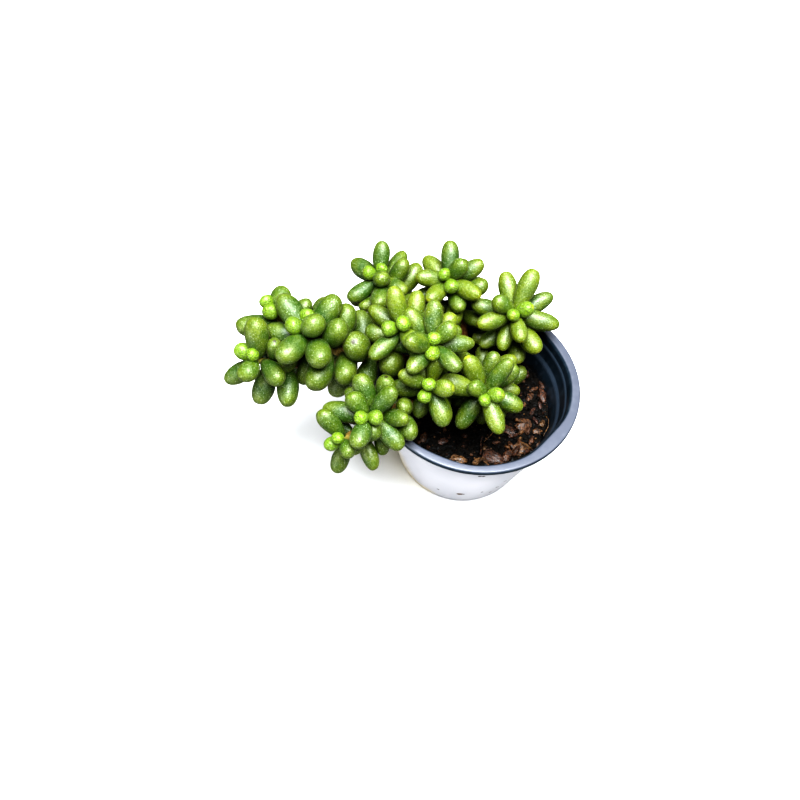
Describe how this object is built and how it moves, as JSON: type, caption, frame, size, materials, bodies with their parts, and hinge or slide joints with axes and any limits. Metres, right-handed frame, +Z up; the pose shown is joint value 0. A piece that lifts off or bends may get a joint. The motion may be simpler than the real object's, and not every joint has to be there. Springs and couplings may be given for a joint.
{
  "type": "potted sedum",
  "caption": "Leaning jelly-bean sedum with plump leaves in a thin dark stepped nursery pot, set in a smooth white cover pot.",
  "frame": {"origin": "centre of the cover pot's flat foot", "axes": "+Z up along the pots' axis, -X towards the side on which the stems hang over the rim"},
  "size_m": [0.1493, 0.0992, 0.104],
  "materials": {
    "white_pot": "smooth, glossy",
    "dark_pot": "satin",
    "soil": "rough, moist",
    "leaf": "waxy, wet-looking"
  },
  "bodies": {
    "root": {"cover_pot": "white_pot", "nursery_pot": "dark_pot", "soil": "soil", "leafy_stem_a": "leaf", "leafy_stem_b": "leaf", "leafy_stem_c": "leaf", "leafy_stem_d": "leaf", "leafy_stem_e": "leaf", "leafy_stem_f": "leaf", "leafy_stem_g": "leaf"}
  },
  "joints": []
}
